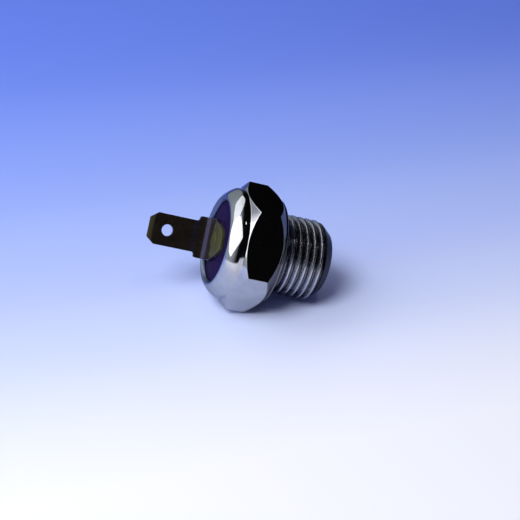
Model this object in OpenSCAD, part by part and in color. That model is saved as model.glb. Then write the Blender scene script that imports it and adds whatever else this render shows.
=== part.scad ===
// Radiator fan temperature switch: a hexagon body that screws into the radiator tank,
// with one flat tab on its insulating head and a snap disc inside the threaded nose.
// Z runs up the screw axis from the nose's end face. The tab's broad face looks along -Y.

/* [Threaded nose] */
// Major diameter of the M16 thread
thread_d = 16; // [15.9:0.1:18]
// Length of the nose below the sealing face
nose_len = 11; // [10:0.5:14]
// Diameter of the flat end face inside the lead-in chamfer
nose_end_d = 12.4; // [11:0.1:13]
// Height of the lead-in chamfer
nose_chamfer_h = 2.2; // [1.5:0.1:2.6]
// Diameter of the run-out groove under the sealing face
relief_d = 13.9; // [13.6:0.1:14.4]
// Height of the run-out groove's straight part
relief_h = 1.1; // [0.6:0.1:1.6]

/* [Hexagon] */
// Width across the flats
hex_af = 22; // [22:0.1:22.4]
// How far the corners are turned from the tab's plane, in degrees
hex_turn = 2.4; // [0:0.1:30]
// Diameter of the collar round the sealing face
collar_d = 21; // [20.6:0.1:21.6]
// Height of the collar's straight edge
collar_h = 0.45; // [0.3:0.05:0.6]
// Height of the full corners between the two chamfers
corner_h = 3.9; // [3:0.1:4]
// Angle of the front chamfer from the face plane
front_chamfer_deg = 38; // [30:1:40]

/* [Rolled rim] */
// Outside diameter of the cup that holds the head
cup_d = 21.8; // [21:0.1:21.9]
// Height from the sealing face to the rim's crest
rim_h = 11.2; // [11.2:0.1:13]
// Height over which the rim is rolled in
roll_h = 2.4; // [2.2:0.1:2.5]
// Diameter of the crest
crest_d = 17.2; // [17.1:0.1:17.6]
// Diameter of the rim's mouth
mouth_d = 16; // [15.8:0.1:16.2]
// Depth of the head's face below the crest
face_recess = 0.55; // [0.55:0.05:0.7]
// Diameter of the flat middle of the head's face
face_flat_d = 9.6; // [9.6:0.1:10]

/* [Tab] */
// Width of the tab
tab_w = 6.3; // [4.8:0.1:6.3]
// Thickness of the tab's sheet
tab_t = 0.8; // [0.5:0.1:0.8]
// Length of the tab above its shoulders
tab_len = 9.9; // [7.5:0.1:11]
// Width of the foot and the shoulders
foot_w = 8.3; // [7.8:0.1:8.6]
// Distance from the screw axis to the tab's front face
tab_offset = 4.2; // [3.6:0.1:4.5]
// Height of the shoulders above the foot's underside
shoulder_h = 3.1; // [3.1:0.1:4]
// Distance from the screw axis to the foot's nose
foot_reach = 4.75; // [4:0.05:5]
// Inside radius of the bend
bend_r = 2.2; // [1.6:0.1:2.2]
// Diameter of the hole that the receptacle clicks into
hole_d = 2.3; // [1.8:0.1:2.6]
// Distance from the hole's centre to the tip
hole_from_tip = 3.8; // [3:0.1:4.5]

/* [Snap action] */
// Stroke of the push pin as the disc snaps over
stroke = 0.5; // [0.3:0.05:0.6]
// Diameter of the bimetal disc
disc_d = 10.4; // [10:0.1:10.4]
// Diameter of the push pin
pin_d = 2; // [1.6:0.1:2.2]
// Distance from the contact spring's root to the screw axis
spring_arm = 7; // [6:0.1:7]

/* [Hidden] */
$fn = 96;
over = 1;
slop = 0.01;
fit_gap = 0.05;
gap = 0.1;

// Turned outside, from the nose's end face upwards
thread_r = thread_d / 2;
relief_r = relief_d / 2;
hex_corner_r = hex_af / 2 / cos(30);
blank_r = hex_corner_r + 0.2;
collar_r = collar_d / 2;
collar_edge = 0.2;
cup_r = cup_d / 2;
crest_r = crest_d / 2;
mouth_r = mouth_d / 2;
seal_z = nose_len;
rear_z = seal_z + collar_h + hex_corner_r - collar_r;
front_z = rear_z + corner_h;
cup_z = front_z + (hex_corner_r - cup_r) * tan(front_chamfer_deg);
crest_z = seal_z + rim_h;
lip_z = crest_z - 0.7;
lip_foot_z = crest_z - 0.8;
face_z = crest_z - face_recess;
roll_z = crest_z - roll_h;
roll_steps = 10;
roll_start = 0.4;
roll_end = 0.8;
lip_level = 0.25;
lip_steps = 5;

// Bore steps, from the nose's floor upwards
floor_z = 1.4;
floor_r = 4.5;
ledge_z = 2.3;
pocket_r = disc_d / 2 + gap;
pocket_z = 2.9;
bore_r = 5.6;
guide_seat_z = seal_z + 0.8;
guide_seat_r = 6.7;
ring_z = seal_z + 2;
chamber_r = 8.5;
cap_seat_z = crest_z - 4.2;
cup_bore_r = 9.6;
cap_shoulder_z = crest_z - 1.9;

// Ring, contact spring and contacts, from the ring upwards
ring_t = 0.6;
ring_bore_r = 4.2;
leaf_t = 0.2;
leaf_z = ring_z + ring_t + slop;
leaf_w = 3.6;
leaf_tip_r = 1.9;
button_r = 1.1;
button_h = 0.5;
button_dome_r = 3;
stake_r = 0.9;
stake_h = 0.2;
stake_neck_r = 0.7;
closed_gap = 0.02;
fixed_r = 1.3;
fixed_t = 0.5;
fixed_z = leaf_z + leaf_t + button_h + stroke + closed_gap;

// Rivet and what it clamps
clench_z = fixed_z + fixed_t;
clench_h = 0.6;
clench_r = 1.9;
washer_z = clench_z + clench_h;
washer_t = 0.4;
washer_r = 2.6;
shank_r = 1.2;
shank_hole_r = shank_r + fit_gap;
rivet_head_r = 1.7;
rivet_head_h = 0.3;
rivet_dome_r = 8;

// Moulded head and the seal groove in its edge
boss_z = washer_z + washer_t;
boss_r = 3.2;
skirt_r = 7.4;
plate_z = face_z - 2.45;
cap_r = cup_bore_r - gap;
cap_edge_r = mouth_r - fit_gap;
face_flat_r = face_flat_d / 2;
face_crown = 0.03;
face_steps = 6;
seal_t = 1.2;
seal_r = cup_bore_r - seal_t / 2 - fit_gap;
seal_groove_h = 1.3;
seal_groove_z = cap_seat_z + 0.45;
seal_groove_r = seal_r - seal_t / 2 - fit_gap;

// Foot and tab
foot_z = face_z;
foot_top = foot_z + tab_t;
foot_nose_r = 2.6;
foot_taper_y = 1.6;
bend_y = tab_offset - bend_r;
bend_z = foot_top + bend_r;
tab_z = foot_z + shoulder_h;
tip_z = tab_z + tab_len;
tip_cut_w = 1.2;
tip_cut_h = 1.55;
tip_t = 0.4;
tip_bevel_h = 0.95;
shoulder_r = 0.45;
neck_r = 0.5;

// Disc, guide and pin: the disc turns inside out, so its middle moves by twice its dish
disc_t = 0.25;
disc_r = disc_d / 2;
disc_steps = 10;
disc_dish = (stroke + fit_gap) / 2;
disc_edge_z = ledge_z + disc_dish * (1 - pow(floor_r / disc_r, 2)) + slop;
retainer_h = 0.5;
retainer_bore_r = 4.2;
guide_z = pocket_z + retainer_h;
guide_pocket_r = 3.6;
guide_pocket_h = 1.2;
guide_flange_h = 0.8;
spring_t = 0.2;
spring_rim_r = guide_seat_r - 0.25;
spring_bore_r = ring_bore_r + 0.4;
spring_z = guide_seat_z + guide_flange_h;
pin_r = pin_d / 2;
pin_end_r = 2;
pin_foot_z = disc_edge_z - disc_dish + disc_t + fit_gap;
pin_top_z = leaf_z - stake_h - fit_gap;

// Points of the rolled rim's outside, from the cup's upright wall in to the level crest
roll_outline = [for (i = [0:roll_steps]) let (u = i / roll_steps, v = 1 - u)
    [v * v * (v + 3 * u) * cup_r + u * u * (u + 3 * v) * crest_r + 3 * v * u * u * roll_end,
     v * v * (v + 3 * u) * roll_z + u * u * (u + 3 * v) * crest_z + 3 * v * v * u * roll_start]];

// Points of the rim's lip, from the level crest down the slope into the mouth
lip_outline = [for (i = [1:lip_steps]) let (u = i / lip_steps)
    [crest_r - 2 * u * (1 - u) * lip_level - u * u * (crest_r - mouth_r),
     crest_z - u * u * (crest_z - lip_z)]];

// Height of the head's crowned face at radius r, falling away outside its flat middle
function face_height(r) = face_z - face_crown * pow(max(r - face_flat_r, 0), 2);

// Height of the cold disc above its own edge, at radius r
function disc_rise(r) = -disc_dish * (1 - pow(r / disc_r, 2));

// A round button standing on z = 0, whose top is part of a sphere
module domed_button(r, h, dome_r) {
    intersection() {
        cylinder(r = r, h = h);
        translate([0, 0, h - dome_r]) sphere(r = dome_r);
    }
}

// A flat ring
module ring(r_out, r_in, h) {
    difference() {
        cylinder(r = r_out, h = h);
        translate([0, 0, -over]) cylinder(r = r_in, h = h + 2 * over);
    }
}

// Turned outside of the body, before the hexagon is milled
module body_turning() {
    rotate_extrude()
        polygon(concat([
            [0, 0],
            [nose_end_d / 2, 0],
            [thread_r, nose_chamfer_h],
            [thread_r, seal_z - relief_h - (thread_r - relief_r)],
            [relief_r, seal_z - relief_h],
            [relief_r, seal_z],
            [collar_r - collar_edge, seal_z],
            [collar_r, seal_z + collar_edge],
            [collar_r, seal_z + collar_h],
            [blank_r, seal_z + collar_h + blank_r - collar_r],
            [blank_r, front_z - (blank_r - hex_corner_r) * tan(front_chamfer_deg)],
            [cup_r, cup_z]],
            roll_outline,
            lip_outline,
            [[0, lip_z]]));
}

// Stepped bore, from the pit under the disc up to the rim's mouth
module body_bore() {
    rotate_extrude()
        polygon([
            [0, floor_z],
            [floor_r, floor_z],
            [floor_r, ledge_z],
            [pocket_r, ledge_z],
            [pocket_r, pocket_z],
            [bore_r, pocket_z],
            [bore_r, guide_seat_z],
            [guide_seat_r, guide_seat_z],
            [guide_seat_r, ring_z],
            [chamber_r, ring_z],
            [chamber_r, cap_seat_z],
            [cup_bore_r, cap_seat_z],
            [cup_bore_r, cap_shoulder_z],
            [mouth_r, lip_foot_z],
            [mouth_r, crest_z + over],
            [0, crest_z + over]]);
}

// Body, turned and milled from one bar, with its rim rolled in over the head
module hex_body() {
    color("silver")
    difference() {
        intersection() {
            body_turning();
            rotate([0, 0, hex_turn]) translate([0, 0, -over])
                cylinder(r = hex_corner_r, h = crest_z + 2 * over, $fn = 6);
        }
        body_bore();
    }
}

// Moulded head: a plate with a skirt that holds the ring down and a boss for the rivet
module cap() {
    color("#1c1a38")
    difference() {
        rotate_extrude()
            polygon(concat([
                [shank_hole_r, boss_z],
                [boss_r, boss_z],
                [boss_r, plate_z],
                [skirt_r, plate_z],
                [skirt_r, ring_z + ring_t],
                [chamber_r - gap, ring_z + ring_t],
                [chamber_r - gap, cap_seat_z],
                [cap_r, cap_seat_z],
                [cap_r, cap_shoulder_z - gap]],
                [for (i = [0:face_steps])
                    let (r = cap_edge_r + (face_flat_r - cap_edge_r) * i / face_steps)
                    [r, face_height(r)]],
                [[shank_hole_r, face_z]]));
        translate([0, 0, seal_groove_z]) ring(cap_r + over, seal_groove_r, seal_groove_h);
    }
}

// Rubber ring that keeps water out of the head
module cap_seal() {
    color("#202020")
    translate([0, 0, seal_groove_z + seal_groove_h / 2])
        rotate_extrude() translate([seal_r, 0]) circle(d = seal_t);
}

// Side view of the folded sheet: foot, bend and tab with its thinned tip
module tab_side() {
    back_y = tab_offset + tab_t;
    thin = (tab_t - tip_t) / 2;
    difference() {
        union() {
            translate([-foot_reach - over, foot_z]) square([foot_reach + over + back_y, tab_t]);
            translate([bend_y, foot_z + tab_t / 2]) square(bend_r + tab_t / 2);
            polygon([
                [tab_offset, foot_z],
                [back_y, foot_z],
                [back_y, tip_z - tip_bevel_h],
                [back_y - thin, tip_z],
                [tab_offset + thin, tip_z],
                [tab_offset, tip_z - tip_bevel_h]]);
        }
        translate([bend_y, bend_z]) circle(r = bend_r);
        difference() {
            translate([bend_y, foot_z - over]) square(bend_r + tab_t + over);
            translate([bend_y, bend_z]) circle(r = bend_r + tab_t);
        }
    }
}

// Front view: wide shoulders, rounded at their corners and necked into the tab
module tab_front() {
    half = foot_w / 2;
    translate([-half, foot_z - over]) square([foot_w, shoulder_h - shoulder_r + over]);
    translate([-half + shoulder_r, foot_z]) square([foot_w - 2 * shoulder_r, shoulder_h]);
    for (side = [-1, 1]) {
        translate([side * (half - shoulder_r), tab_z - shoulder_r]) circle(r = shoulder_r);
        difference() {
            translate([side * tab_w / 2, tab_z]) square(2 * neck_r, center = true);
            translate([side * (tab_w / 2 + neck_r), tab_z + neck_r]) circle(r = neck_r);
        }
    }
    polygon([
        [-tab_w / 2, foot_z],
        [tab_w / 2, foot_z],
        [tab_w / 2, tip_z - tip_cut_h],
        [tab_w / 2 - tip_cut_w, tip_z],
        [-tab_w / 2 + tip_cut_w, tip_z],
        [-tab_w / 2, tip_z - tip_cut_h]]);
}

// Block with the foot's plan: full width at the bend, then straight sides into a round nose
module foot_block(h) {
    nose_y = -foot_reach + foot_nose_r;
    half = foot_w / 2;
    run = foot_taper_y - nose_y;
    join_r = foot_nose_r - slop;
    turn = atan2(run, half) - acos(join_r / norm([half, run]));
    join = [join_r * cos(turn), nose_y + join_r * sin(turn)];
    translate([0, nose_y, 0]) cylinder(r = foot_nose_r, h = h);
    linear_extrude(height = h)
        polygon([
            [-half, tab_offset + tab_t + over],
            [half, tab_offset + tab_t + over],
            [half, foot_taper_y],
            join,
            [-join[0], join[1]],
            [-half, foot_taper_y]]);
}

// Tab and foot, stamped and folded from one strip of brass
module terminal() {
    color("#8f7f45")
    difference() {
        intersection() {
            rotate([90, 0, 90]) linear_extrude(height = foot_w + 2 * over, center = true)
                tab_side();
            rotate([90, 0, 0]) linear_extrude(height = 2 * tip_z, center = true) tab_front();
            foot_block(tip_z + over);
        }
        translate([0, tab_offset - over, tip_z - hole_from_tip])
            rotate([-90, 0, 0]) cylinder(d = hole_d, h = tab_t + 2 * over);
        translate([0, 0, foot_z - over]) cylinder(r = shank_hole_r, h = tab_t + 2 * over);
    }
}

// Rivet that clamps the foot to the head and carries the current inside
module terminal_rivet() {
    color("#a08d52") {
        translate([0, 0, clench_z]) cylinder(r = clench_r, h = clench_h);
        translate([0, 0, clench_z]) cylinder(r = shank_r, h = foot_top - clench_z + gap);
        translate([0, 0, foot_top]) domed_button(rivet_head_r, rivet_head_h, rivet_dome_r);
    }
}

// Washer between the moulding and the clenched end of the rivet
module rivet_washer() {
    color("#b59a5a")
    translate([0, 0, washer_z]) ring(washer_r, shank_hole_r, washer_t);
}

// Silver face brazed to the rivet's lower end
module fixed_contact() {
    color("#d8d8dc")
    translate([0, 0, fixed_z]) cylinder(r = fixed_r, h = fixed_t);
}

// Bronze leaf, fixed at its root and free over the push pin
module contact_spring() {
    color("#b87040")
    translate([0, 0, leaf_z])
    difference() {
        union() {
            translate([-spring_arm, -leaf_w / 2, 0]) cube([spring_arm, leaf_w, leaf_t]);
            cylinder(r = leaf_tip_r, h = leaf_t);
        }
        translate([0, 0, -over]) cylinder(r = stake_neck_r, h = leaf_t + 2 * over);
    }
}

// Silver button staked through the free end of the leaf
module moving_contact() {
    color("#d8d8dc") {
        translate([0, 0, leaf_z + leaf_t]) domed_button(button_r, button_h, button_dome_r);
        translate([0, 0, leaf_z - gap]) cylinder(r = stake_neck_r - slop, h = leaf_t + 2 * gap);
        translate([0, 0, leaf_z - stake_h]) cylinder(r = stake_r, h = stake_h);
    }
}

// Ring that carries the leaf and joins it to the body
module ground_ring() {
    color("#c8c8c0")
    translate([0, 0, ring_z]) ring(chamber_r - gap, ring_bore_r, ring_t);
}

// Dished spring washer that holds the guide down on its seat
module guide_spring() {
    color("#9a9aa0")
    rotate_extrude()
        polygon([
            [spring_rim_r, spring_z],
            [spring_rim_r, spring_z + spring_t],
            [spring_bore_r, ring_z],
            [spring_bore_r, ring_z - spring_t]]);
}

// Ceramic guide for the push pin, with a flange at its top and a pocket over the disc
module pin_guide() {
    color("#e9e3d2")
    difference() {
        union() {
            translate([0, 0, guide_z]) cylinder(r = bore_r - gap, h = guide_seat_z - guide_z + gap);
            translate([0, 0, guide_seat_z]) cylinder(r = guide_seat_r - gap, h = guide_flange_h);
        }
        translate([0, 0, guide_z - over]) cylinder(r = guide_pocket_r, h = guide_pocket_h + over);
        translate([0, 0, guide_z]) cylinder(r = pin_r + fit_gap, h = spring_z - guide_z + over);
    }
}

// Ceramic push pin with a rounded top, standing over the middle of the disc
module push_pin() {
    tip_h = pin_end_r - sqrt(pow(pin_end_r, 2) - pow(pin_r, 2));
    tip_foot_z = pin_top_z - tip_h;
    color("#f2efe6") {
        translate([0, 0, pin_foot_z]) cylinder(r = pin_r, h = tip_foot_z - pin_foot_z);
        translate([0, 0, tip_foot_z - gap]) domed_button(pin_r, tip_h + gap, pin_end_r);
    }
}

// Steel ring that keeps the disc on its ledge
module disc_retainer() {
    color("#a8abb0")
    translate([0, 0, pocket_z]) ring(bore_r - fit_gap, retainer_bore_r, retainer_h);
}

// Snap disc of two bonded metals, dished towards the nose while cold
module bimetal_disc() {
    color("#b9a070")
    rotate_extrude()
        polygon(concat(
            [for (i = [0:disc_steps]) let (r = disc_r * i / disc_steps)
                [r, disc_edge_z + disc_rise(r)]],
            [for (i = [disc_steps:-1:0]) let (r = disc_r * i / disc_steps)
                [r, disc_edge_z + disc_rise(r) + disc_t]]));
}

hex_body();
cap();
cap_seal();
terminal();
terminal_rivet();
rivet_washer();
fixed_contact();
contact_spring();
moving_contact();
ground_ring();
guide_spring();
pin_guide();
push_pin();
disc_retainer();
bimetal_disc();
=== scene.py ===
import math

import bpy
import numpy as np
from mathutils import Matrix, Vector
from mathutils.geometry import delaunay_2d_cdt


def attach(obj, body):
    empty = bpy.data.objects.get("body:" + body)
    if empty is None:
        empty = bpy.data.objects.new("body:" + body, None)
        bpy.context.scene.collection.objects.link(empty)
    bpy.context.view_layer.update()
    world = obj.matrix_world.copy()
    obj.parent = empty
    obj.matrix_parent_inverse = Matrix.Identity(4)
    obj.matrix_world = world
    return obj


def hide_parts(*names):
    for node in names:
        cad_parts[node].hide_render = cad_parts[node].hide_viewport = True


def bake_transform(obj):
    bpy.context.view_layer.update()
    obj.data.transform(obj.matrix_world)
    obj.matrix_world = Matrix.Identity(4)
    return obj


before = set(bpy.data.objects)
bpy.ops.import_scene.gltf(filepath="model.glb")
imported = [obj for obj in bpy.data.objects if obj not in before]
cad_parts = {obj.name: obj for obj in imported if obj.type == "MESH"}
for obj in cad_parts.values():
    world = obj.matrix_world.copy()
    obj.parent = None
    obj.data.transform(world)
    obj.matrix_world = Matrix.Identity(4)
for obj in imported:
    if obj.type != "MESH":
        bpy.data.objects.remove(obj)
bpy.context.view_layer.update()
print("frame loaded")

# sizes in the dictionaries are in millimetres, and heights count from the nose's end
mm = 0.001


# Small helpers

def linear(hexColour):
    # each channel c of an sRGB hex value: c/12.92 up to 0.04045, else ((c + 0.055)/1.055)^2.4
    values = [int(hexColour[i:i + 2], 16) / 255 for i in (1, 3, 5)]
    return [c / 12.92 if c <= 0.04045 else ((c + 0.055) / 1.055) ** 2.4 for c in values]


def rgba(hexColour):
    return linear(hexColour) + [1.0]


def addNode(tree, kind, settings=None, inputs=None):
    # adds one node, sets its settings, and links or sets its inputs
    node = tree.nodes.new("ShaderNode" + kind)
    for key, value in (settings or {}).items():
        setattr(node, key, value)
    for key, value in (inputs or {}).items():
        socket = node.inputs[key]
        if isinstance(value, bpy.types.NodeSocket):
            tree.links.new(value, socket)
        else:
            socket.default_value = value
    return node


# settings that several nodes share
colourMix = {"data_type": "RGBA"}
colourProduct = {"data_type": "RGBA", "blend_type": "MULTIPLY"}
softStep = {"interpolation_type": "SMOOTHSTEP"}


def smoothMesh(name, vertices, faces):
    # vertices in millimetres, faces counter-clockwise seen from outside
    mesh = bpy.data.meshes.new(name)
    mesh.from_pydata((np.asarray(vertices) * mm).tolist(), [], faces)
    mesh.validate()
    mesh.polygons.foreach_set("use_smooth", [True] * len(mesh.polygons))
    mesh.update()
    piece = bpy.data.objects.new(name, mesh)
    bpy.context.scene.collection.objects.link(piece)
    return piece


# a rounded corner has cornerRows rows, and a guard row on each side, guardReach roundings off,
# that keeps the flats flat
cornerRows, guardReach = 5, 1.8


def roundedRows(section, count):
    # rows of a section given as (radius, height, rounding), each carried to count columns;
    # a corner B between A and C becomes B + a·t·(1-u)² + c·t·u², u from 0 to 1, where a and c
    # are unit vectors to A and C, and t is at most a quarter of the shorter side
    points = np.array([[np.broadcast_to(np.asarray(r, float), count),
                        np.broadcast_to(np.asarray(z, float), count)] for r, z, _ in section])
    rows = [points[0]]
    for i in range(1, len(section) - 1):
        rounding = section[i][2]
        if not rounding:
            rows.append(points[i])
            continue
        back, ahead = points[i - 1] - points[i], points[i + 1] - points[i]
        backLength, aheadLength = np.linalg.norm(back, axis=0), np.linalg.norm(ahead, axis=0)
        t = np.minimum(rounding, 0.25 * np.minimum(backLength, aheadLength))
        back, ahead = back / backLength * t, ahead / aheadLength * t
        rows.append(points[i] + guardReach * back)
        rows += [points[i] + back * (1 - u) ** 2 + ahead * u ** 2
                 for u in np.linspace(0, 1, cornerRows)]
        rows.append(points[i] + guardReach * ahead)
    rows.append(points[-1])
    return np.array(rows)


def turned(name, rows, angles):
    # rows of (radius, height) carried round the axis: (r·cos a, r·sin a, z); the first and last
    # rows lie on the axis and become single points, or the rows close on themselves
    r, z = rows[:, 0], rows[:, 1]
    closed = r[0].max() > 1e-6
    if not closed:
        r, z = r[1:-1], z[1:-1]
    high, wide = r.shape
    vertices = np.stack([r * np.cos(angles), r * np.sin(angles), z], axis=-1).reshape(-1, 3)
    i = np.arange(high if closed else high - 1)[:, None]
    j = np.arange(wide)[None, :]
    nextRow, nextColumn = (i + 1) % high * wide, (j + 1) % wide
    quads = np.stack([i * wide + j, i * wide + nextColumn,
                      nextRow + nextColumn, nextRow + j], axis=-1).reshape(-1, 4)
    faces = quads.tolist()
    if not closed:
        first, last = high * wide, high * wide + 1
        vertices = np.vstack([vertices, [0, 0, rows[0, 1, 0]], [0, 0, rows[-1, 1, 0]]])
        j, k = j.ravel(), nextColumn.ravel()
        top = (high - 1) * wide
        faces += np.stack([np.full(wide, first), k, j], axis=-1).tolist()
        faces += np.stack([np.full(wide, last), top + j, top + k], axis=-1).tolist()
    return smoothMesh(name, vertices, faces)


def coat(piece, material):
    piece.data.materials.clear()
    piece.data.materials.append(material)


def finishPiece(piece, slot, material, *nodes):
    coat(piece, material)
    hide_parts(*nodes)
    return piece


# Camera at the photograph's angle: the switch lies on one flat of its hexagon, so Z points left
cameraFit = {
    "place": (-1.91, -219.62, 85.57),
    "right": (0.2045, -0.3095, -0.9287),
    "up": (0.9789, 0.0650, 0.1939),
    "lens": 81.43, "sensor": 36, "clip": (10, 20000),
}


def makeCamera(fit):
    right, up = Vector(fit["right"]).normalized(), Vector(fit["up"])
    back = right.cross(up).normalized()
    up = back.cross(right)
    data = bpy.data.cameras.new("camera")
    data.lens, data.sensor_width = fit["lens"], fit["sensor"]
    data.clip_start, data.clip_end = (reach * mm for reach in fit["clip"])
    camera = bpy.data.objects.new("camera", data)
    turn = Matrix((right, up, back)).transposed()
    camera.matrix_world = Matrix.Translation(Vector(fit["place"]) * mm) @ turn.to_4x4()
    bpy.context.scene.collection.objects.link(camera)
    bpy.context.scene.camera = camera


makeCamera(cameraFit)
print("camera placed")


# Materials

def mottle(tree, place, size, low, high):
    # soft noise with patches of the given size in millimetres; nearly all of it lies between
    # 0.3 and 0.7, which are mapped to low and high
    noise = addNode(tree, "TexNoise", None,
                    {"Vector": place, "Scale": 1 / (size * mm), "Detail": 3.0})
    ramp = addNode(tree, "MapRange", None,
                   {"Value": noise.outputs["Fac"], "From Min": 0.3, "From Max": 0.7,
                    "To Min": low, "To Max": high})
    return ramp.outputs["Result"]


def patchedColour(tree, place, size, colour, darker):
    # two colours that give way to each other in soft patches
    mix = addNode(tree, "Mix", colourMix,
                  {"Factor": mottle(tree, place, size, 0, 1), 6: rgba(colour), 7: rgba(darker)})
    return mix.outputs[2]


def fillRamp(ramp, stops):
    # colours of a ramp by their places from 0 to 1
    elements = ramp.color_ramp.elements
    for _ in range(len(stops) - 2):
        elements.new(0.5)
    for element, at in zip(elements, sorted(stops)):
        element.position, element.color = at, rgba(stops[at])


def surface(name, finish):
    # patched colour, roughness that wanders between two values, and a fine relief
    material = bpy.data.materials.new(name)
    material.use_nodes = True
    tree = material.node_tree
    shader = tree.nodes["Principled BSDF"]
    place = addNode(tree, "TexCoord").outputs["Object"]
    colour = patchedColour(tree, place, finish["patch"], *finish["colours"])
    tree.links.new(colour, shader.inputs["Base Color"])
    rough = mottle(tree, place, finish["patch"] / 2, *finish["roughness"])
    tree.links.new(rough, shader.inputs["Roughness"])
    relief = addNode(tree, "Bump", None, {"Height": mottle(tree, place, finish["grain"], 0, 1),
                                          "Distance": finish["relief"] * mm})
    tree.links.new(relief.outputs["Normal"], shader.inputs["Normal"])
    shader.inputs["Metallic"].default_value = finish["metallic"]
    return material, tree, shader, place, colour, rough


nickelFinish = {
    "colours": ("#c0c2c7", "#b3b5bb"), "patch": 2.5, "roughness": (0.05, 0.11),
    "grain": 1.2, "relief": 0.0022, "metallic": 1.0, "edgeTint": "#c8c8ce",
    # painted shade of the plating by height, darkest on the nose's cone, and the heights at which
    # the thread and the body set in
    "shades": {0.0: "#b0b0b8", 0.15: "#565660", 1.7: "#565660", 2.6: "#f4f4fa",
               10.7: "#f4f4fa", 11.3: "#ffffff"},
    "threadFrom": (1.2, 2.4), "bodyFrom": (10.9, 11.1),
    # the thread's valleys, with painted shade, and the rolled lip, with a painted bluish
    # reflection, by their distance from the axis
    "valley": (7.25, 7.8), "valleyPaintedShade": 0.36, "threadRoughness": 0.18,
    "lip": (8.6, 8.95), "lipRoughness": 0.27, "lipPaintedReflection": "#a8b6d4",
    # the front bevel, darkened by painted shade, by its height less its distance from the axis
    "bevel": (1.0, 1.3), "bevelPaintedShade": 0.33,
}


def brightNickel(d):
    # electroplated nickel over turned and drawn steel: a cool mirror with the faint waviness of the
    # bar under it; on the nose, which sits in the coolant, it is rougher; painted shade darkens the
    # nose's cone and the turned front bevel, standing in for dark reflections, and the thread's
    # valleys; the roller that turned the lip in has left it satin, and a painted bluish grey on it
    # stands in for reflection
    material, tree, shader, place, colour, rough = surface("brightNickelPlate", d)
    height = addNode(tree, "SeparateXYZ", None, {"Vector": place}).outputs["Z"]
    flat = addNode(tree, "VectorMath", {"operation": "MULTIPLY"}, {0: place, 1: (1, 1, 0)})
    radius = addNode(tree, "VectorMath", {"operation": "LENGTH"},
                     {0: flat.outputs[0]}).outputs["Value"]
    # painted shade by height, darkest on the nose's cone, standing in for dark reflections
    top = max(d["shades"])
    climb = addNode(tree, "MapRange", None, {"Value": height, "From Max": top * mm})
    shade = addNode(tree, "ValToRGB", None, {"Fac": climb.outputs["Result"]})
    fillRamp(shade, {at / top: hexColour for at, hexColour in d["shades"].items()})
    plateWithHeightShade = addNode(tree, "Mix", colourProduct,
                     {"Factor": 1.0, 6: colour, 7: shade.outputs["Color"]})
    # painted shade in the thread's valleys, by the distance from the screw axis, on the thread only
    depth = addNode(tree, "MapRange", softStep,
                    {"Value": radius, "From Min": d["valley"][0] * mm,
                     "From Max": d["valley"][1] * mm, "To Min": d["valleyPaintedShade"]})
    aboveCone, onBody = [addNode(tree, "MapRange", None,
                                 {"Value": height, "From Min": start * mm,
                                  "From Max": full * mm}).outputs["Result"]
                         for start, full in (d["threadFrom"], d["bodyFrom"])]
    onThread = addNode(tree, "Math", {"operation": "SUBTRACT"}, {0: aboveCone, 1: onBody})
    plateWithValleyShade = addNode(tree, "Mix", colourProduct,
                      {"Factor": onThread.outputs[0], 6: plateWithHeightShade.outputs[2],
                       7: depth.outputs["Result"]})
    # painted shade on the front bevel, standing in for dark reflections, a cone on which height and
    # distance grow together
    rise = addNode(tree, "Math", {"operation": "SUBTRACT"}, {0: height, 1: radius})
    offBevel = addNode(tree, "MapRange", softStep,
                       {"Value": rise.outputs[0], "From Min": d["bevel"][0] * mm,
                        "From Max": d["bevel"][1] * mm, "To Min": d["bevelPaintedShade"]})
    plateWithBevelShade = addNode(tree, "Mix", colourProduct,
                       {"Factor": onBody, 6: plateWithValleyShade.outputs[2],
                        7: offBevel.outputs["Result"]})
    # the lip's painted bluish reflection, by its distance from the axis, on the body only
    nearAxis = addNode(tree, "MapRange", None,
                       {"Value": radius, "From Min": d["lip"][0] * mm,
                        "From Max": d["lip"][1] * mm, "To Min": 1.0, "To Max": 0.0})
    onLip = addNode(tree, "Math", {"operation": "MULTIPLY"},
                    {0: nearAxis.outputs["Result"], 1: onBody}).outputs[0]
    plateWithLipReflection = addNode(tree, "Mix", colourProduct,
                     {"Factor": onLip, 6: plateWithBevelShade.outputs[2], 7: rgba(d["lipPaintedReflection"])})
    tree.links.new(plateWithLipReflection.outputs[2], shader.inputs["Base Color"])
    shader.inputs["Specular Tint"].default_value = rgba(d["edgeTint"])
    # roughness that the nose and the lip have over the rest
    offBody = addNode(tree, "Mix", None, {"Factor": onBody, 2: d["threadRoughness"], 3: 0.0})
    rough = addNode(tree, "Math", {"operation": "ADD"}, {0: rough, 1: offBody.outputs[0]})
    rough = addNode(tree, "Math", {"operation": "MULTIPLY_ADD"},
                    {0: onLip, 1: d["lipRoughness"], 2: rough.outputs[0]})
    tree.links.new(rough.outputs[0], shader.inputs["Roughness"])
    return material


mouldingFinish = {
    "colours": ("#221740", "#1b1234"), "patch": 1.8, "roughness": (0.16, 0.26),
    "grain": 0.35, "relief": 0.003, "metallic": 0.0, "gloss": 0.002,
}


def navyMoulding(d):
    # phenolic moulding with a finely grained skin: a deep purple navy that hardly shines
    material, tree, shader = surface("navyPhenolic", d)[:3]
    shader.inputs["Specular IOR Level"].default_value = d["gloss"]
    return material


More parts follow.
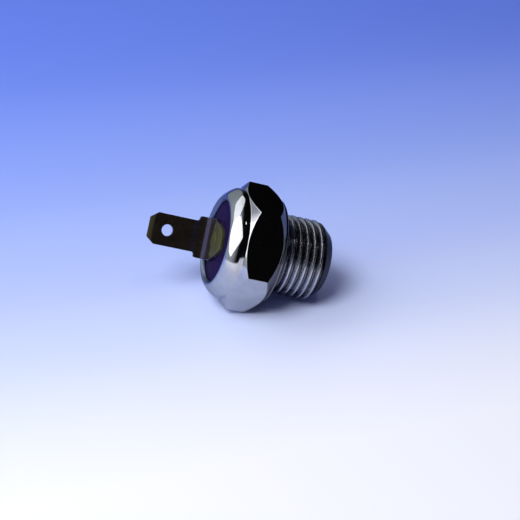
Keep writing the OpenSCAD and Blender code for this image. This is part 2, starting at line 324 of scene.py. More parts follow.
rivetFinish = {
    "colours": ("#86855a", "#76754c"), "patch": 1.4, "roughness": (0.5, 0.62),
    "grain": 0.3, "relief": 0.003, "metallic": 1.0,
}
stripFinish = {
    "colours": ("#86855a", "#76754c"), "patch": 1.2, "roughness": (0.5, 0.62),
    "grain": 0.3, "relief": 0.003, "metallic": 1.0,
    "tarnish": ("#1e1a15", "#16130e"), "tarnishPatch": 1.6, "tarnishRoughness": 0.12,
    "sheen": "#b4b4ff",
    # where the tarnish sets in along the strip, from the start of the bend, and how far that
    # edge wanders, in patches
    "tarnishStart": (-1.4, -0.2), "wander": 0.2, "wanderPatch": 1.0,
    # the clean oval round the rivet, by its half width and how much longer it is
    "bareRadius": (2.7, 3.7), "bareStretch": 1.7,
    # the thinned tip, which its connector has rubbed, by height
    "wornStart": (33.6, 34.0), "wornShare": 0.16,
}


def tarnishedStrip(d):
    # brass strip blackened by a thick oxide, with a smooth, faintly blue sheen in place of the
    # metal's own gloss; round the rivet, where the foot was pressed and rubbed, it keeps a
    # cleaner, satin olive, and a trace of it at the tip
    material, tree, shader, place, foot, rough = surface("blackenedBrassStrip", d)
    along = addNode(tree, "SeparateXYZ", None,
                    {"Vector": addNode(tree, "UVMap", {"uv_map": "strip"}).outputs["UV"]})
    edge = addNode(tree, "Math", {"operation": "MULTIPLY_ADD"},
                   {0: mottle(tree, place, d["wanderPatch"], -1, 1), 1: d["wander"] * mm,
                    2: along.outputs["X"]})
    onFoot = addNode(tree, "MapRange", softStep,
                     {"Value": edge.outputs[0], "From Min": d["tarnishStart"][0] * mm,
                      "From Max": d["tarnishStart"][1] * mm, "To Min": 1.0, "To Max": 0.0})
    flat = addNode(tree, "VectorMath", {"operation": "MULTIPLY"},
                   {0: place, 1: (1, 1 / d["bareStretch"], 0)})
    radius = addNode(tree, "VectorMath", {"operation": "LENGTH"}, {0: flat.outputs[0]})
    rubbed = addNode(tree, "MapRange", softStep,
                     {"Value": radius.outputs["Value"], "From Min": d["bareRadius"][0] * mm,
                      "From Max": d["bareRadius"][1] * mm, "To Min": 1.0, "To Max": 0.0})
    height = addNode(tree, "SeparateXYZ", None, {"Vector": place}).outputs["Z"]
    worn = addNode(tree, "MapRange", None,
                   {"Value": height, "From Min": d["wornStart"][0] * mm,
                    "From Max": d["wornStart"][1] * mm, "To Max": d["wornShare"]})
    bare = addNode(tree, "Math", {"operation": "MULTIPLY_ADD"},
                   {0: onFoot.outputs["Result"], 1: rubbed.outputs["Result"],
                    2: worn.outputs["Result"]}).outputs[0]
    tarnish = patchedColour(tree, place, d["tarnishPatch"], *d["tarnish"])
    colour = addNode(tree, "Mix", colourMix, {"Factor": bare, 6: tarnish, 7: foot})
    tree.links.new(colour.outputs[2], shader.inputs["Base Color"])
    tree.links.new(bare, shader.inputs["Metallic"])
    smoothed = addNode(tree, "Mix", None, {"Factor": bare, 2: d["tarnishRoughness"], 3: rough})
    tree.links.new(smoothed.outputs[0], shader.inputs["Roughness"])
    shader.inputs["Specular Tint"].default_value = rgba(d["sheen"])
    return material


nickel = brightNickel(nickelFinish)
moulding = navyMoulding(mouldingFinish)
stripBrass = tarnishedStrip(stripFinish)
# brass upset cold and dulled to olive by its first oxide
rivetBrass = surface("upsetBrass", rivetFinish)[0]
print("materials made")


# Hexagon body with its thread and rolled rim

hexBody = {
    "halfFlats": 11.0, "hexTurn": 2.4, "hexCornerRounding": 0.06,
    # columns over half a flat, the first of them cornerGuard degrees off the rounding
    "flatColumns": 14, "cornerGuard": 0.35,
    "pitch": 1.5, "crestRadius": 8.0, "rootRadius": 7.2, "rootFlat": 0.24, "threadPhase": 0.08,
    "threadSoftness": 0.05, "coneSoftness": 0.04,
    # heights of the thread's rows, and of the row that ends its run-out
    "rowStep": 0.05, "firstRow": 0.6, "lastRow": 9.75, "runOutRow": 9.78,
    "noseEndRadius": 6.2, "noseChamfer": 2.2, "noseRounding": 0.12,
    "reliefRadius": 6.95, "reliefStart": 9.9, "sealZ": 11.0,
    "collarRadius": 10.5, "collarTop": 11.45, "collarChamfer": 0.2,
    "frontZ": 17.552, "frontSlope": math.tan(math.radians(38)),
    "cupRadius": 10.9, "cupZ": 18.959,
    "rollZ": 19.8, "rollStart": 0.4, "rollEnd": 0.8, "rimZ": 22.2, "rimRadius": 8.6,
    "mouthRadius": 8.0, "lipLevel": 0.25, "lipZ": 21.5, "lipFootZ": 21.4,
    "rollRows": 33, "lipRows": 10,
    # steps of the bore from the head's shoulder down to the disc's ledge and the nose's wall
    "bore": ((9.6, 20.3), (9.6, 18.0), (8.5, 18.0), (8.5, 13.0), (6.7, 13.0), (6.7, 11.8),
             (5.6, 11.8), (5.6, 2.9), (5.3, 2.9), (5.3, 2.3), (4.5, 2.3), (4.5, 1.4)),
    "boreRounding": 0.03,
}


def hexColumns(d):
    # angles close together at each rounded corner, then even over the flats, and the distance
    # of the hexagon from the axis at each: dC·cos a + sqrt(rc² - dC²·sin² a) on the rounding,
    # halfFlats / cos(30° - a) on the flat
    rounding = d["hexCornerRounding"]
    cornerCentre = (d["halfFlats"] - rounding) / math.cos(math.radians(30))
    touch = math.degrees(math.atan2(rounding / 2,
                                    cornerCentre + rounding * math.cos(math.radians(30))))
    steps = np.concatenate([[0, touch / 2, touch],
                            np.linspace(touch + d["cornerGuard"], 30, d["flatColumns"])])
    sextant = np.concatenate([-steps[:0:-1], steps[:-1]])
    offsets = np.tile(sextant, 6)
    angles = d["hexTurn"] + offsets + np.repeat(np.arange(6) * 60, len(sextant))
    a = np.radians(np.abs(offsets))
    inner = np.sqrt(np.maximum(rounding ** 2 - (cornerCentre * np.sin(a)) ** 2, 0))
    onCorner = np.abs(offsets) <= touch + 1e-9
    distance = np.where(onCorner, cornerCentre * np.cos(a) + inner,
                        d["halfFlats"] / np.cos(np.radians(30) - a))
    return np.radians(angles), distance


def noseCone(d, z):
    # radius of the lead-in cone at a height
    return d["noseEndRadius"] + z * (d["crestRadius"] - d["noseEndRadius"]) / d["noseChamfer"]


def threadRadius(d, z, angles):
    # soft trapezium thread: root + clamp((f - rootFlat/2)·√3, 0, depth), where f is the distance
    # along the axis from the root's middle, cut by the nose's cone and the run-out's cone; the
    # soft larger of a and b is (a + b + sqrt((a - b)² + k²))/2
    def softMax(a, b, k):
        return 0.5 * (a + b + np.sqrt((a - b) ** 2 + k * k))
    depth = d["crestRadius"] - d["rootRadius"]
    phase = (z - d["threadPhase"]) / d["pitch"] - angles / (2 * math.pi)
    fromRoot = np.abs(phase % 1 - 0.5) * d["pitch"]
    rise = softMax((fromRoot - d["rootFlat"] / 2) * math.sqrt(3), 0, d["threadSoftness"])
    rise = -softMax(-rise, -depth, d["threadSoftness"])
    form = d["rootRadius"] + rise
    reliefCone = d["reliefRadius"] + d["reliefStart"] - z
    form = -softMax(-form, -noseCone(d, z), d["coneSoftness"])
    return -softMax(-form, -reliefCone, d["coneSoftness"])


def makeBody(d):
    angles, hexagon = hexColumns(d)
    count, start = len(angles), d["firstRow"]
    nose = roundedRows([
        (0, 0, 0), (d["noseEndRadius"] / 2, 0, 0), (d["noseEndRadius"], 0, d["noseRounding"]),
        (noseCone(d, start / 2), start / 2, 0), (noseCone(d, start), start, 0)], count)
    z = np.arange(start, d["lastRow"], d["rowStep"])[:, None] * np.ones(count)
    thread = np.stack([threadRadius(d, z, angles), z], axis=1)
    face = d["frontZ"] + (d["halfFlats"] / math.cos(math.radians(30)) - hexagon) * d["frontSlope"]
    # roll: a cubic from the cup's wall, upright, to the rim's top, level; lip: a quadratic from
    # the rim's top down the slope into the mouth
    u = np.linspace(0, 1, d["rollRows"])[:, None]
    roll = ((1 - u) ** 3 * (d["cupRadius"], d["rollZ"])
            + 3 * (1 - u) ** 2 * u * (d["cupRadius"], d["rollZ"] + d["rollStart"])
            + 3 * (1 - u) * u ** 2 * (d["rimRadius"] + d["rollEnd"], d["rimZ"])
            + u ** 3 * (d["rimRadius"], d["rimZ"]))
    v = np.linspace(0, 1, d["lipRows"] + 1)[1:, None]
    lip = ((1 - v) ** 2 * (d["rimRadius"], d["rimZ"])
           + 2 * (1 - v) * v * (d["rimRadius"] - d["lipLevel"], d["rimZ"])
           + v ** 2 * (d["mouthRadius"], d["lipZ"]))
    curve = [(r, z, 0) for r, z in np.vstack([roll, lip])]
    rest = roundedRows([
        (d["reliefRadius"] + d["reliefStart"] - d["runOutRow"], d["runOutRow"], 0),
        (d["reliefRadius"], d["reliefStart"], 0.1),
        (d["reliefRadius"], d["sealZ"], 0.1),
        (d["collarRadius"] - d["collarChamfer"], d["sealZ"], 0.06),
        (d["collarRadius"], d["sealZ"] + d["collarChamfer"], 0.06),
        (d["collarRadius"], d["collarTop"], 0.05),
        (hexagon, d["collarTop"] + hexagon - d["collarRadius"], 0.09),
        (hexagon, face, 0.09),
        (d["cupRadius"], d["cupZ"], 0.08)] + curve + [
        (d["mouthRadius"], d["lipFootZ"], 0.02)] + [
        (r, z, d["boreRounding"]) for r, z in d["bore"]] + [(0, d["bore"][-1][1], 0)], count)
    return turned("body_shell", np.concatenate([nose[:-1], thread, rest]), angles)


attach(finishPiece(makeBody(hexBody), "nickel_plate", nickel, "hex_body"), "body")
print("hexagon body made")


# Moulded head under the rolled rim

head = {
    "holeRadius": 1.25, "bossZ": 16.33, "bossRadius": 3.2, "plateZ": 19.2, "skirtRadius": 7.4,
    "skirtZ": 13.6, "chamberRadius": 8.4, "seatZ": 18.0, "outerRadius": 9.5,
    "grooveZ": 18.45, "grooveTop": 19.75, "grooveRadius": 8.3,
    "shoulderZ": 20.2, "edgeRadius": 7.95, "faceZ": 21.65, "crownStart": 4.8, "crown": 0.03,
    # height on the hole's wall where the section closes, rows on the face, degrees a column
    "seamZ": 19.0, "faceRows": 20, "column": 2.5,
}


def makeHead(d):
    angles = np.radians(np.arange(0, 360, d["column"]))
    section = [
        (d["holeRadius"], d["bossZ"], 0.1), (d["bossRadius"], d["bossZ"], 0.15),
        (d["bossRadius"], d["plateZ"], 0.15), (d["skirtRadius"], d["plateZ"], 0.15),
        (d["skirtRadius"], d["skirtZ"], 0.1), (d["chamberRadius"], d["skirtZ"], 0.1),
        (d["chamberRadius"], d["seatZ"], 0.05), (d["outerRadius"], d["seatZ"], 0.1),
        (d["outerRadius"], d["grooveZ"], 0.08), (d["grooveRadius"], d["grooveZ"], 0.1),
        (d["grooveRadius"], d["grooveTop"], 0.1), (d["outerRadius"], d["grooveTop"], 0.08)]
    # the face falls away by crown·(r - crownStart)² outside crownStart
    fall = [(r, d["faceZ"] - d["crown"] * max(r - d["crownStart"], 0) ** 2, 0)
            for r in np.linspace(d["edgeRadius"], d["crownStart"], d["faceRows"])]
    section += [(d["outerRadius"], d["shoulderZ"], 0.05)] + fall
    section += [(d["holeRadius"], d["faceZ"], 0.05)]
    seam = [(d["holeRadius"], d["seamZ"], 0)]
    rows = roundedRows(seam + section + seam, len(angles))[:-1]
    return turned("head_moulding", rows, angles)


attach(finishPiece(makeHead(head), "moulding", moulding, "cap"), "body")
print("head made")


# Rivet whose low round head holds the foot down

rivet = {
    "clenchZ": 15.33, "clenchRadius": 1.9, "clenchTop": 15.93, "shankRadius": 1.2,
    "footTop": 22.45, "headRadius": 1.7, "headEdge": 0.12, "headHeight": 0.3,
    # radius of a row on the clench's face, rows over the dome, the first of them domeGuard
    # inside its edge, and degrees a column
    "clenchRow": 0.9, "domeRows": 9, "domeGuard": 0.15, "column": 5,
}


def makeRivet(d):
    # the head's top is a circle's arc from its edge to its middle
    angles = np.radians(np.arange(0, 360, d["column"]))
    rise = d["headHeight"] - d["headEdge"]
    domeRadius = (d["headRadius"] ** 2 + rise ** 2) / (2 * rise)
    dome = [(r, d["footTop"] + d["headHeight"] - domeRadius + math.sqrt(domeRadius ** 2 - r ** 2),
             0) for r in np.linspace(d["headRadius"] - d["domeGuard"], 0, d["domeRows"])]
    section = [
        (0, d["clenchZ"], 0), (d["clenchRow"], d["clenchZ"], 0),
        (d["clenchRadius"], d["clenchZ"], 0.15),
        (d["clenchRadius"], d["clenchTop"], 0.15), (d["shankRadius"], d["clenchTop"], 0.05),
        (d["shankRadius"], d["footTop"], 0.05), (d["headRadius"], d["footTop"], 0.06),
        (d["headRadius"], d["footTop"] + d["headEdge"], 0.05)] + dome
    return turned("terminal_rivet_head", roundedRows(section, len(angles)), angles)


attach(finishPiece(makeRivet(rivet), "rivet_brass", rivetBrass, "terminal_rivet"), "body")
print("rivet made")


# Tab and foot, folded from one stamped strip

strip = {
    "thickness": 0.8, "tipThickness": 0.4, "tipBevel": 0.95,
    # the bend's axis, and its radius to the middle of the sheet
    "bendY": 2.0, "bendZ": 24.65, "bendRadius": 2.6,
    "tipZ": 34.65, "shoulderZ": 24.75, "holeZ": 30.85, "holeRadius": 1.15,
    "tabHalf": 3.15, "footHalf": 4.15, "noseY": -2.15, "noseRadius": 2.6, "taperY": 1.6,
    "shoulderRounding": 0.45, "neckRounding": 0.5, "tipCutWide": 1.2, "tipCutHigh": 1.55,
    "rivetHole": 1.25, "edge": 0.07,
    # points round the foot's nose, a rounding and the holes, steps along the sides, and how far
    # the points and the lines across lie from where the tip's bevel starts
    "noseRows": 22, "roundRows": 8, "holeSides": 56, "rivetHoleSides": 40,
    "footStep": 0.1, "tabStep": 0.4, "bevelGuard": 0.06, "bevelLines": 0.15,
}


def stripOutline(d):
    # half of the flat blank's outline as (s along the strip, w across it), from the foot's nose
    # to the tip; s is 0 where the bend starts
    bend = d["bendRadius"] * math.pi / 2
    onTab = lambda z: bend + z - d["bendZ"]
    noseS = d["noseY"] - d["bendY"]
    run, half = d["taperY"] - d["noseY"], d["footHalf"]
    reach = math.hypot(half, run)
    turn = math.atan2(run, half) - math.acos(d["noseRadius"] / reach)
    points = [(noseS - d["noseRadius"] * math.cos(a), d["noseRadius"] * math.sin(a))
              for a in np.linspace(0, math.pi / 2 + turn, d["noseRows"])]
    taperS = d["taperY"] - d["bendY"]
    shoulderS = onTab(d["shoulderZ"])
    rounding, neck, step = d["shoulderRounding"], d["neckRounding"], d["footStep"]
    quarter = np.linspace(0, math.pi / 2, d["roundRows"])
    points += [(s, half) for s in np.arange(taperS, shoulderS - rounding - step / 2, step)]
    points += [(shoulderS - rounding + rounding * math.sin(a),
                half - rounding + rounding * math.cos(a)) for a in quarter]
    points += [(shoulderS + neck - neck * math.cos(a), d["tabHalf"] + neck - neck * math.sin(a))
               for a in quarter]
    tipS, step = onTab(d["tipZ"]), d["tabStep"]
    points += [(s, d["tabHalf"])
               for s in np.arange(shoulderS + neck + step, tipS - d["tipCutHigh"] - step / 2, step)]
    cut = (tipS - d["tipCutHigh"], d["tabHalf"])
    corner = (tipS, d["tabHalf"] - d["tipCutWide"])
    points += [cut]
    # the cut corner has a point where the bevel starts, and one close to it on each side
    for guard in (-d["bevelGuard"], 0, d["bevelGuard"]):
        s = tipS - d["tipBevel"] + guard
        share = (s - cut[0]) / (corner[0] - cut[0])
        points.append((s, cut[1] + share * (corner[1] - cut[1])))
    points += [corner]
    return np.array(points)


def circle(s, radius, count):
    # a hole's loop about (s, 0), clockwise
    a = np.linspace(0, 2 * math.pi, count, endpoint=False)
    return np.stack([s + radius * np.cos(a), -radius * np.sin(a)], axis=1)


def insetLoop(loop, distance):
    # each point moves inwards along the bisector of its two edges' normals, by distance measured
    # square to the edges
    ahead = np.roll(loop, -1, axis=0) - loop
    ahead /= np.linalg.norm(ahead, axis=1)[:, None]
    behind = np.roll(ahead, 1, axis=0)
    normal = lambda e: np.stack([-e[:, 1], e[:, 0]], axis=1)
    bisector = normal(ahead) + normal(behind)
    return loop + distance * 2 * bisector / (np.sum(bisector ** 2, axis=1)[:, None])


def inside(point, loop):
    # a point is inside where a line from it crosses the loop an odd number of times
    a, b = loop, np.roll(loop, -1, axis=0)
    crosses = (a[:, 1] > point[1]) != (b[:, 1] > point[1])
    climb = np.where(crosses, b[:, 1] - a[:, 1], 1)
    at = a[:, 0] + (point[1] - a[:, 1]) * (b[:, 0] - a[:, 0]) / climb
    return np.count_nonzero(crosses & (at > point[0])) % 2 == 1


def foldStrip(d, s, w, n):
    # foot: (x, y, z) = (-w, bendY + s, bendZ - bendRadius + n); bend: turned by s/bendRadius
    # about (bendY, bendZ) at bendRadius - n; tab: (-w, bendY + bendRadius - n, bendZ + s - bend)
    bend = d["bendRadius"] * math.pi / 2
    a = np.clip(s / d["bendRadius"], 0, math.pi / 2)
    before, after = np.minimum(s, 0), np.maximum(s - bend, 0)
    y = d["bendY"] + before + (d["bendRadius"] - n) * np.sin(a)
    z = d["bendZ"] + after - (d["bendRadius"] - n) * np.cos(a)
    return np.stack([-w, y, z], axis=-1)


def makeSheet(name, loops, halfThickness, edge, linesAcross, fold):
    # a sheet from flat loops (s, w), the outline and then its holes, folded by fold(s, w, n);
    # rows go from the top face's guard loop over the rounded edge, down the wall and under; the
    # two broad faces are filled between the guard loops, with lines across where they bend
    quarter = np.radians([0, 30, 60, 90])
    profile = [(guardReach * edge, 0)]
    profile += [(edge * (1 - math.sin(a)), edge * (1 - math.cos(a))) for a in quarter]
    vertices, faces, guards = [], [], []
    for loop in loops:
        for side in (1, -1):
            for inset, drop in profile[::side]:
                flat = insetLoop(loop, inset)
                vertices.append(np.column_stack([flat, side * (halfThickness(flat[:, 0]) - drop)]))
        count, rows = len(loop), 2 * len(profile)
        start = sum(len(v) for v in vertices) - count * rows
        j = np.arange(count)
        k = (j + 1) % count
        for i in range(rows - 1):
            a, b = start + i * count, start + (i + 1) * count
            faces += np.stack([a + j, b + j, b + k, a + k], axis=1).tolist()
        guards.append((start, start + (rows - 1) * count, count))
    flat = np.vstack(vertices)
    upper = np.concatenate([np.arange(a, a + n) for a, _, n in guards])
    lower = np.concatenate([np.arange(b, b + n) for _, b, n in guards])
    points = flat[upper, :2]
    edges, spans, at = [], [], 0
    for _, _, n in guards:
        edges += [(at + i, at + (i + 1) % n) for i in range(n)]
        spans.append(points[at:at + n])
        at += n
    outer = spans[0]
    s, w = outer.T
    for i in np.flatnonzero((w > 0) & linesAcross(s)):
        # a line goes across to the point nearest to (s, -w) that isn't on the same side
        away = np.abs(s - s[i]) + np.abs(w + w[i]) + np.where(w > 0, np.inf, 0)
        edges.append((int(i), int(np.argmin(away))))
    coords, _, triangles, origins = delaunay_2d_cdt(
        [Vector(p) for p in points], edges, [], 0, 1e-6)[:4]
    for triangle in triangles:
        middle = sum((coords[i] for i in triangle), Vector((0, 0))) / 3
        if inside(middle, outer) and not any(inside(middle, hole) for hole in spans[1:]):
            corners = [origins[i][0] for i in triangle]
            faces.append([int(upper[c]) for c in corners])
            faces.append([int(lower[c]) for c in reversed(corners)])
    piece = smoothMesh(name, fold(flat[:, 0], flat[:, 1], flat[:, 2]), faces)
    layer = piece.data.uv_layers.new(name="strip")
    corner = np.empty(len(piece.data.loops), int)
    piece.data.loops.foreach_get("vertex_index", corner)
    layer.data.foreach_set("uv", (flat[corner, :2] * mm).astype(np.float32).ravel())
    return piece


def makeTerminal(d):
    half = stripOutline(d)
    mirrored = half[::-1] * (1, -1)
    outline = np.vstack([half[1:], mirrored[:-1], half[:1]])[::-1]
    tipS = half[-1, 0]
    bend = d["bendRadius"] * math.pi / 2
    bevelS = tipS - d["tipBevel"]
    loops = [outline, circle(bend + d["holeZ"] - d["bendZ"], d["holeRadius"], d["holeSides"]),
             circle(-d["bendY"], d["rivetHole"], d["rivetHoleSides"])]

    def halfThickness(s):
        # even, then thinned towards the tip
        thin = np.clip((s - bevelS) / d["tipBevel"], 0, 1)
        return (d["thickness"] - thin * (d["thickness"] - d["tipThickness"])) / 2

    def linesAcross(s):
        # from the end of the taper to the end of the bend, and about the bevel's start
        atBend = (s > d["taperY"] - d["bendY"] + d["footStep"] / 2) & (s < bend + d["footStep"])
        return atBend | (np.abs(s - bevelS) < d["bevelLines"])

    return makeSheet("tab_terminal", loops, halfThickness, d["edge"], linesAcross,
                     lambda s, w, n: foldStrip(d, s, w, n))


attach(finishPiece(makeTerminal(strip), "tab_brass", stripBrass, "terminal"), "body")
print("terminal made")


# Contact leaf, welded at its root, lying level

leaf = {
    "root": -7.0, "half": 1.8, "tipRadius": 1.9, "stakeHole": 0.7, "middleZ": 13.71,
    "thickness": 0.2, "edge": 0.03, "bendFrom": -6.2, "bendTo": -1.0,
    # points round the end and the hole, steps along the sides, and the first line across
    "tipRows": 40, "holeSides": 32, "step": 0.25, "linesFrom": -6.8,
}


def makeLeaf(d):
    # straight sides from the root, then the round end about the screw axis; the sheet's middle
    # plane is level, so (s, w, n) becomes (s, w, middleZ + n)
    join = math.acos(-math.sqrt(d["tipRadius"] ** 2 - d["half"] ** 2) / d["tipRadius"])
    tip = np.linspace(-join, join, d["tipRows"])
    rootward = np.arange(d["tipRadius"] * math.cos(join) - d["step"], d["root"], -d["step"])
    sides = np.append(rootward, d["root"])
    outline = np.vstack([
        np.stack([sides[::-1], np.full(len(sides), -d["half"])], axis=1),
        d["tipRadius"] * np.stack([np.cos(tip), np.sin(tip)], axis=1),
        np.stack([sides, np.full(len(sides), d["half"])], axis=1)])
    return makeSheet("contact_leaf", [outline, circle(0, d["stakeHole"], d["holeSides"])],
                     lambda s: np.full(len(s), d["thickness"] / 2), d["edge"],
                     lambda s: (s > d["linesFrom"]) & (s < d["bendTo"]),
                     lambda s, w, n: np.stack([s, w, d["middleZ"] + n], axis=-1))


leafFinish = {
    "colours": ("#b5835a", "#a3744e"), "patch": 1.0, "roughness": (0.24, 0.33),
    "grain": 0.25, "relief": 0.003, "metallic": 1.0,
}
# phosphor bronze, rolled bright: a warm satin strip
leafPiece = finishPiece(makeLeaf(leaf), "leaf_bronze", surface("phosphorBronze", leafFinish)[0],
                        "contact_spring")
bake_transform(leafPiece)
print("leaf made")


# Pieces inside, which keep their CAD meshes

innerFinishes = {
    # moulded rubber, black and matt
    "nitrileRubber": {"colours": ("#1c1c1c", "#141414"), "metallic": 0.0,
                      "roughness": (0.47, 0.63), "grain": 0.3, "nodes": ["cap_seal"]},
    # brass stamping, still clean
    "pressedBrass": {"colours": ("#a08f58", "#8f7f4c"), "metallic": 1.0,
                     "roughness": (0.3, 0.4), "grain": 0.3, "nodes": ["rivet_washer"]},
    # coined silver, pale and satin
    "fineSilver": {"colours": ("#d9d8d4", "#cbcac6"), "metallic": 1.0,
                   "roughness": (0.21, 0.29), "grain": 0.2,
                   "nodes": ["fixed_contact", "moving_contact"]},
    # cold rolled steel strip, grey with a soft sheen
    "springSteel": {"colours": ("#8b8d92", "#7b7d82"), "metallic": 1.0,
                    "roughness": (0.25, 0.35), "grain": 0.3,
                    "nodes": ["ground_ring", "guide_spring", "disc_retainer"]},
    # pressed and fired steatite, cream and dry
    "steatite": {"colours": ("#e6e0d0", "#dad3c1"), "metallic": 0.0,
                 "roughness": (0.51, 0.69), "grain": 0.25, "nodes": ["pin_guide", "push_pin"]},
    # two alloys rolled together, a dull straw grey
    "rolledBimetal": {"colours": ("#a79a86", "#968a77"), "metallic": 1.0,
                      "roughness": (0.25, 0.35), "grain": 0.3, "nodes": ["bimetal_disc"]},
}
# each has patches four grains wide, and all have the same low relief
innerRelief = 0.004
for name, finish in innerFinishes.items():
    material = surface(name, finish | {"patch": 4 * finish["grain"], "relief": innerRelief})[0]
    for node in finish["nodes"]:
        coat(bpy.data.objects[node], material)
print("inner pieces finished")


# Studio: a floor that goes from white in front to blue behind, a dim room with two lit walls for
# the metal to mirror, and soft lamps

studio = {
    "up": (0.847, -0.443, 0.294), "floorLevel": -7.02, "floorHalf": 800, "floorRoughness": 0.9,
    # the floor's colours by distance away from the switch
    "floorColours": {-45: "#f6f8ff", -15: "#dbe4ff", 10: "#bfcefd", 50: "#a0b6fb",
                     115: "#7c98f8", 220: "#6c89ee", 500: "#4c5e96"},
    # the room behind the floor, as the camera sees it and as the metal does, and its even light;
    # the two fades are by the parts of a direction that point up and away
    "skyPale": "#d5dcf8", "skyFar": "#3f4d70", "skyNear": "#15151c", "ceiling": "#0a0a0a",
    "ambient": "#4a4966", "ceilingFade": (0.0, 0.22), "farFade": (-0.2, 0.7),
    # lit walls of the room: colour, bearing and elevation of the middle, and the angles from it
    # at which the light starts to fade and has gone
    "walls": (("#b4b9c0", -60, 6, 48, 66), ("#a8b2b6", -9, 12, 13, 28)),
    "lampTarget": (0, 0, 15),
}


def studioAxes(d):
    # up from the floor, straight away over it from the camera, and to the picture's right
    up = Vector(d["up"]).normalized()
    away = Vector((0, 1, 0))
    away = (away - up * away.dot(up)).normalized()
    return up, away, away.cross(up)


def towards(d, bearing, elevation):
    # a direction by its bearing from straight away to the right and its elevation, in degrees
    up, away, side = studioAxes(d)
    b, e = math.radians(bearing), math.radians(elevation)
    return (away * math.cos(b) + side * math.sin(b)) * math.cos(e) + up * math.sin(e)


def makeFloor(d):
    up, depth, side = studioAxes(d)
    corners = [up * d["floorLevel"] + side * a * d["floorHalf"] + depth * b * d["floorHalf"]
               for a, b in ((-1, -1), (1, -1), (1, 1), (-1, 1))]
    mesh = bpy.data.meshes.new("floor")
    mesh.from_pydata([c * mm for c in corners], [], [(0, 1, 2, 3)])
    mesh.update()
    if mesh.polygons[0].normal.dot(up) < 0:
        mesh.flip_normals()
    floor = bpy.data.objects.new("floor", mesh)
    bpy.context.scene.collection.objects.link(floor)
    material = bpy.data.materials.new("paleFloor")
    material.use_nodes = True
    tree = material.node_tree
    shader = tree.nodes["Principled BSDF"]
    shader.inputs["Roughness"].default_value = d["floorRoughness"]
    shader.inputs["Specular IOR Level"].default_value = 0.0
    place = addNode(tree, "TexCoord").outputs["Object"]
    along = addNode(tree, "VectorMath", {"operation": "DOT_PRODUCT"},
                    {0: place, 1: tuple(depth)})
    places = list(d["floorColours"])
    spread = addNode(tree, "MapRange", None,
                     {"Value": along.outputs["Value"],
                      "From Min": places[0] * mm, "From Max": places[-1] * mm})
    ramp = addNode(tree, "ValToRGB", None, {"Fac": spread.outputs["Result"]})
    ramp.color_ramp.interpolation = "CARDINAL"
    fillRamp(ramp, {(at - places[0]) / (places[-1] - places[0]): d["floorColours"][at]
                    for at in places})
    tree.links.new(ramp.outputs["Color"], shader.inputs["Base Color"])
    # seen from below, the floor is clear
    clear = addNode(tree, "BsdfTransparent")
    behind = addNode(tree, "NewGeometry").outputs["Backfacing"]
    mix = addNode(tree, "MixShader", None, {0: behind, 1: shader.outputs[0], 2: clear.outputs[0]})
    tree.links.new(mix.outputs[0], tree.nodes["Material Output"].inputs["Surface"])
    mesh.materials.append(material)


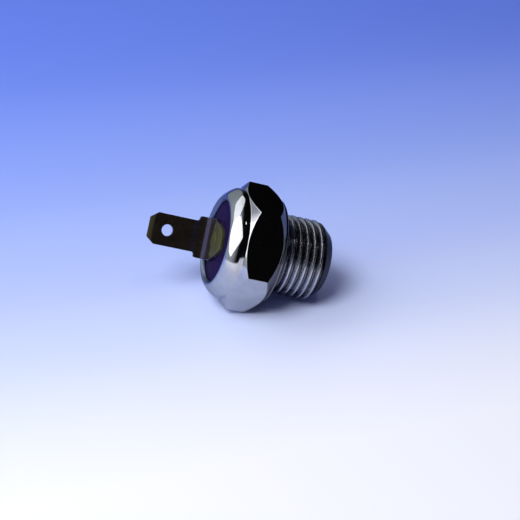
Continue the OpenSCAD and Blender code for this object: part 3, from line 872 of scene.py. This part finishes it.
def makeWorld(d):
    world = bpy.data.worlds.new("studio")
    bpy.context.scene.world = world
    world.use_nodes = True
    tree = world.node_tree
    shader = tree.nodes["Background"]
    way = addNode(tree, "TexCoord").outputs["Generated"]
    up, away, side = studioAxes(d)
    height = addNode(tree, "VectorMath", {"operation": "DOT_PRODUCT"}, {0: way, 1: tuple(up)})
    fade = addNode(tree, "MapRange", softStep,
                   {"Value": height.outputs["Value"], "From Min": d["ceilingFade"][0],
                    "From Max": d["ceilingFade"][1]})
    depth = addNode(tree, "VectorMath", {"operation": "DOT_PRODUCT"}, {0: way, 1: tuple(away)})
    farness = addNode(tree, "MapRange", softStep,
                      {"Value": depth.outputs["Value"], "From Min": d["farFade"][0],
                       "From Max": d["farFade"][1]})
    horizon = addNode(tree, "Mix", colourMix,
                      {"Factor": farness.outputs["Result"],
                       6: rgba(d["skyNear"]), 7: rgba(d["skyFar"])})
    upwards = addNode(tree, "Mix", colourMix,
                      {"Factor": fade.outputs["Result"], 6: horizon.outputs[2],
                       7: rgba(d["ceiling"])})
    reflected = upwards
    for colour, bearing, elevation, full, end in d["walls"]:
        middle = tuple(towards(d, bearing, elevation))
        near = addNode(tree, "VectorMath", {"operation": "DOT_PRODUCT"}, {0: way, 1: middle})
        onWall = addNode(tree, "MapRange", softStep,
                         {"Value": near.outputs["Value"],
                          "From Min": math.cos(math.radians(end)),
                          "From Max": math.cos(math.radians(full))})
        reflected = addNode(tree, "Mix", colourMix,
                            {"Factor": onWall.outputs["Result"], 6: reflected.outputs[2],
                             7: rgba(colour)})
    light = addNode(tree, "LightPath")
    seen = addNode(tree, "Mix", colourMix,
                   {"Factor": light.outputs["Is Camera Ray"], 6: reflected.outputs[2],
                    7: rgba(d["skyPale"])})
    mirrored = addNode(tree, "Math", {"operation": "MAXIMUM"},
                       {0: light.outputs["Is Camera Ray"], 1: light.outputs["Is Glossy Ray"]})
    mirrored = addNode(tree, "Math", {"operation": "MAXIMUM"},
                       {0: mirrored.outputs[0], 1: light.outputs["Is Transmission Ray"]})
    lit = addNode(tree, "Mix", colourMix,
                  {"Factor": mirrored.outputs[0], 6: rgba(d["ambient"]), 7: seen.outputs[2]})
    tree.links.new(lit.outputs[2], shader.inputs["Color"])
    shader.inputs["Strength"].default_value = 1.0


lamps = {
    # bearing from straight away to the picture's right, elevation over the floor, in degrees;
    # distance and size in millimetres; radiance 1 is seen as white; the metal doesn't mirror the
    # key box, which gives the floor its shadow
    "windowBox": {"bearing": -92, "elevation": 36, "distance": 600, "size": (520, 550),
                  "roll": -16, "radiance": 1.9},
    "keyBox": {"bearing": -126, "elevation": 54, "distance": 590, "size": (250, 250),
               "roll": 0, "radiance": 11.9, "mirrored": False},
    "backPanel": {"bearing": -33, "elevation": 50, "distance": 700, "size": (860, 270),
                  "roll": 0, "radiance": 1.2},
    "spotBox": {"bearing": 160, "elevation": 70.7, "distance": 600, "size": (60, 60),
                "roll": 0, "radiance": 15},
}


def makeLamps(rows, d):
    up = studioAxes(d)[0]
    target = Vector(d["lampTarget"])
    for name, row in rows.items():
        way = towards(d, row["bearing"], row["elevation"])
        data = bpy.data.lights.new(name, "AREA")
        data.shape, data.size, data.size_y = "RECTANGLE", row["size"][0] * mm, row["size"][1] * mm
        # power = π · radiance · area
        data.energy = row["radiance"] * math.pi * data.size * data.size_y
        lamp = bpy.data.objects.new(name, data)
        # the lamp looks at the switch with its wide side level
        level = way.cross(up).normalized()
        turn = Matrix((level, level.cross(-way), way)).transposed()
        turn = turn @ Matrix.Rotation(math.radians(row["roll"]), 3, "Z")
        place = (target + way * row["distance"]) * mm
        lamp.matrix_world = Matrix.Translation(place) @ turn.to_4x4()
        lamp.visible_camera = False
        lamp.visible_glossy = row.get("mirrored", True)
        bpy.context.scene.collection.objects.link(lamp)


makeFloor(studio)
makeWorld(studio)
makeLamps(lamps, studio)
bpy.context.scene.view_settings.view_transform = "Standard"
print("studio lit")
